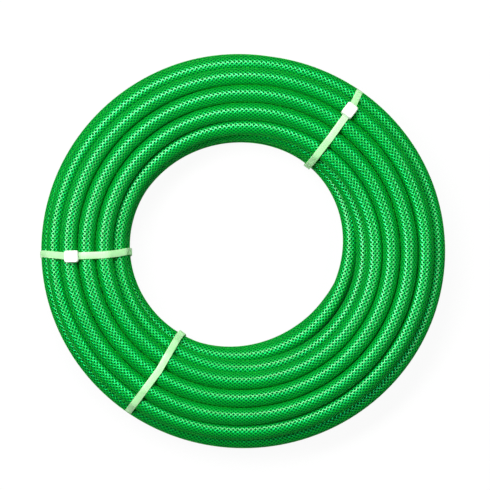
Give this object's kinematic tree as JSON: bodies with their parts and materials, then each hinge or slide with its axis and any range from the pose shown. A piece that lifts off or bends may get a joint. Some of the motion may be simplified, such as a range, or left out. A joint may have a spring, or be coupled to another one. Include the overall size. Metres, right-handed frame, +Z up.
{
  "type": "coiled braided garden hose",
  "caption": "Coil of translucent green braided PVC hose lying flat, wound in layers round an open eye and held by nylon cable ties, with one open end.",
  "frame": {"origin": "centre of the coil's outline, on the floor it lies on", "axes": "+Z up along the axis of the coil's eye, away from the floor; +X across the coil, away from the left tie, along its longest extent"},
  "size_m": [0.4188, 0.4068, 0.0781],
  "materials": {
    "hose_pvc": "glossy translucent",
    "tie_nylon": "satin translucent"
  },
  "bodies": {
    "root": {"hose_coil": "hose_pvc", "outer_end": "hose_pvc", "inner_end": "hose_pvc", "tie_left": "tie_nylon", "tie_lower": "tie_nylon", "tie_upper": "tie_nylon"}
  },
  "joints": []
}
